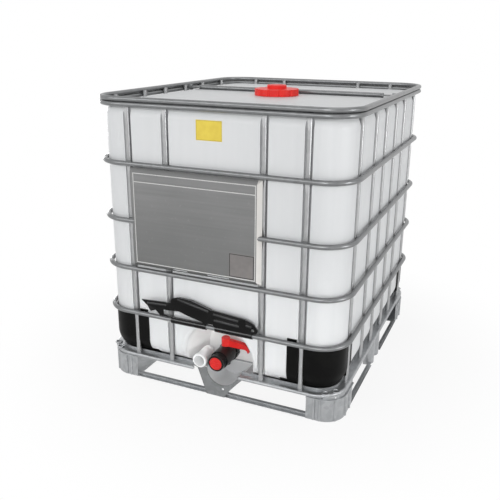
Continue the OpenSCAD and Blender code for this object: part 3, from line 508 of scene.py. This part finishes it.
def makeFlap(look):
    shell = bpy.data.objects.new("flapShell", nodes["valve_flap"].data.copy())
    bpy.context.scene.collection.objects.link(shell)
    pickOnly(shell)
    editAll(lambda: bpy.ops.mesh.remove_doubles(threshold=look["merge"]))
    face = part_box("valve_flap")[0][1] + look["face"]
    half, tilt = look["block"], math.radians(look["tilt"])
    # the block's upper back edge is the deepest line, with a long wall that faces up and out below it
    out = look["deep"] - half * (math.cos(tilt) + math.sin(tilt))
    down = half * (math.cos(tilt) - math.sin(tilt))
    for x, up, length, slope in look["grooves"].values():
        bpy.ops.object.select_all(action="DESELECT")
        place = (x, face + out, look["hinge"] + up - down)
        bpy.ops.mesh.primitive_cube_add(size=2, location=place, rotation=(-tilt, math.radians(slope), 0))
        cutter = bpy.context.object
        cutter.scale = (length, half, half)
        bpy.ops.object.transform_apply(location=True, rotation=True, scale=True)
        editAll(lambda: bpy.ops.mesh.bevel(offset=look["soft"], segments=4, affect="EDGES"))
        cut = shell.modifiers.new("groove", "BOOLEAN")
        cut.operation = "DIFFERENCE"
        cut.object = cutter
        bpy.context.view_layer.objects.active = shell
        bpy.ops.object.modifier_apply(modifier="groove")
        bpy.data.objects.remove(cutter)
    pickOnly(shell)
    bpy.ops.object.shade_smooth_by_angle(angle=math.radians(look["smooth"]))
    fit(shell, flapPlastic, "flap")
    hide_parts("valve_flap")


makePlateLines(plateLines)
makeSticker(plateSticker)
makeLabelBorder(labelBorder)
makeTroughWall(troughWall)
makeFlap(flapGrooves)
print("detail pieces made")


# floor, light and camera

studio = {"floorSize": 40.0, "floorParts": 8, "floorRough": 0.9, "floorShine": 0.1, "speck": 3,
          "floorLight": (0.84, 0.84, 0.84), "floorDark": (0.83, 0.83, 0.83), "nearWhite": 0.88,
          "fadeFrom": 0.6, "fadeTo": 1.3, "white": (1.0, 1.0, 1.0), "world": 0.42}
lamps = {"key": {"power": 54, "size": (1.4, 1.4), "place": (1.0, -5.0, 2.5), "aim": (0, -0.3, 0.6)},
         "streak": {"power": 52, "size": (4.6, 0.4), "place": (-2.2, -4.6, 2.4), "aim": (0, -0.3, 0.7)},
         "fill": {"power": 60, "size": (1.2, 2.2), "place": (4.9, -0.9, 1.1), "aim": (0.3, 0, 0.6)},
         "low": {"power": 0.5, "size": (0.7, 0.4), "place": (1.5, -2.3, 0.40), "aim": (-0.08, -0.5, 0.16),
                 "spread": 26},
         "top": {"power": 24, "size": (2.6, 2.6), "place": (0.4, 0.6, 4.8), "aim": (0, 0, 1.0)},
         "back": {"power": 70, "size": (2.2, 1.0), "place": (-4.2, 3.2, 0.75), "aim": (0, 0, 0.6)}}


def makeFloor(look):
    bpy.ops.object.select_all(action="DESELECT")
    parts = look["floorParts"]
    bpy.ops.mesh.primitive_grid_add(x_subdivisions=parts, y_subdivisions=parts, size=look["floorSize"])
    floor = bpy.context.object
    floor.name = "floor"
    f = Finish("floorPaint", Roughness=look["floorRough"], Specular_IOR_Level=look["floorShine"])
    f.set(Base_Color=f.mix(f.noise(look["speck"], 3), look["floorDark"], look["floorLight"]))
    # seen as white away from the object, with its shadow kept near it
    away = f.node("ShaderNodeVectorMath", {"operation": "LENGTH"}, {0: f.place}, "Value")
    reach = {"Value": away, "From Min": look["fadeFrom"], "From Max": look["fadeTo"],
             "To Min": look["nearWhite"]}
    white = f.node("ShaderNodeMapRange", {"interpolation_type": "SMOOTHSTEP"}, reach)
    glow = f.node("ShaderNodeEmission", {}, {"Color": look["white"]})
    paint = Val(f, f.shader.outputs[0])
    mixed = f.node("ShaderNodeMixShader", {}, {0: white * f.seenRay(), 1: paint, 2: glow})
    f.feed(f.tree.nodes["Material Output"].inputs["Surface"], mixed)
    floor.data.materials.append(f.material)


def addLamp(name, look):
    lamp = bpy.data.lights.new(name, "AREA")
    lamp.energy = look["power"]
    lamp.shape = "RECTANGLE"
    lamp.size, lamp.size_y = look["size"]
    lamp.spread = math.radians(look.get("spread", 180))
    rig = bpy.data.objects.new(name, lamp)
    bpy.context.scene.collection.objects.link(rig)
    rig.location = look["place"]
    ahead = Vector(look["aim"]) - Vector(look["place"])
    rig.rotation_euler = ahead.to_track_quat("-Z", "Y").to_euler()


def makeWorld(look):
    world = bpy.data.worlds.new("studio")
    bpy.context.scene.world = world
    world.use_nodes = True
    g = Graph(world.node_tree)
    sky = g.tree.nodes["Background"].inputs
    g.feed(sky["Color"], look["white"])
    g.feed(sky["Strength"], look["world"] + (1 - look["world"]) * g.seenRay())


photoCamera = {"place": (0.986, -2.496, 1.336), "yaw": -23.78, "pitch": -18.77, "roll": 0.47, "focal": 637.0,
               "frame": 500, "sensor": 36}


def makeCamera(look):
    yaw, pitch, roll = (math.radians(look[k]) for k in ("yaw", "pitch", "roll"))
    ahead = Vector((math.sin(yaw) * math.cos(pitch), math.cos(yaw) * math.cos(pitch), math.sin(pitch)))
    right = ahead.cross(Vector((0, 0, 1))).normalized()
    up = right.cross(ahead)
    across = math.cos(roll) * right + math.sin(roll) * up
    above = math.cos(roll) * up - math.sin(roll) * right
    cam = bpy.data.cameras.new("photoView")
    cam.sensor_width = look["sensor"]
    cam.lens = look["sensor"] * look["focal"] / look["frame"]
    rig = bpy.data.objects.new("photoView", cam)
    bpy.context.scene.collection.objects.link(rig)
    turn = Matrix((across, above, -ahead)).transposed().to_4x4()
    rig.matrix_world = Matrix.Translation(look["place"]) @ turn
    bpy.context.scene.camera = rig


makeFloor(studio)
for name, look in lamps.items():
    addLamp(name, look)
makeWorld(studio)
makeCamera(photoCamera)
bpy.context.scene.view_settings.view_transform = "Standard"
print("studio ready")
